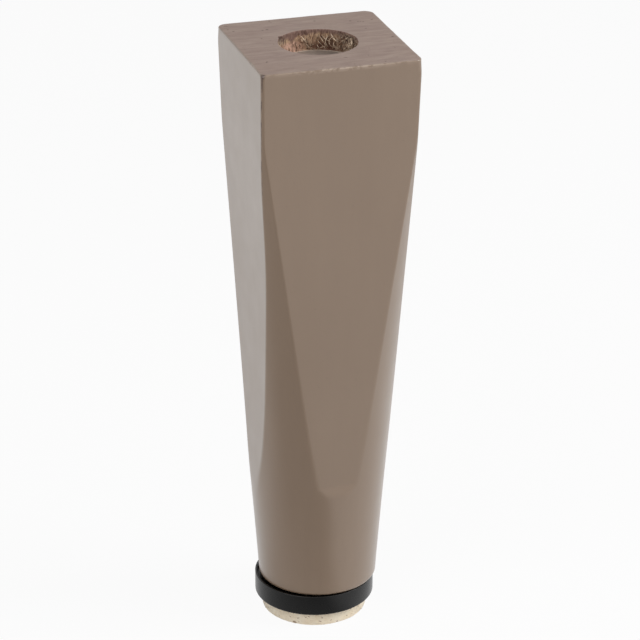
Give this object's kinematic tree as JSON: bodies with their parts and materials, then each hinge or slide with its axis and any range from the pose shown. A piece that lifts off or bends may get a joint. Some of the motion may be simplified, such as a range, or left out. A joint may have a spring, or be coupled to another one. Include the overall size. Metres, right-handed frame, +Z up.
{
  "type": "wooden furniture leg",
  "caption": "Square-to-round tapered wooden furniture leg with a fixing recess in its top and a nail-on plastic glide with a felt pad under its foot.",
  "frame": {"origin": "on the floor, under the axis of the wooden body", "axes": "+Z up along the body towards its square top; +X and +Y square to the flats of the top, so the front flat faces -Y"},
  "size_m": [0.052, 0.052, 0.2],
  "materials": {
    "painted_wood": "satin grey-brown lacquer over wood, thinner stain on the end grain, bare torn wood inside the recess",
    "black_plastic": "moulded, satin black",
    "nail_steel": "plain drawn steel",
    "pale_felt": "pressed felt, pale beige with fine brown flecks"
  },
  "bodies": {
    "root": {"leg_body": "painted_wood", "glide_housing": "black_plastic", "glide_nail": "nail_steel", "felt_pad": "pale_felt"}
  },
  "joints": []
}
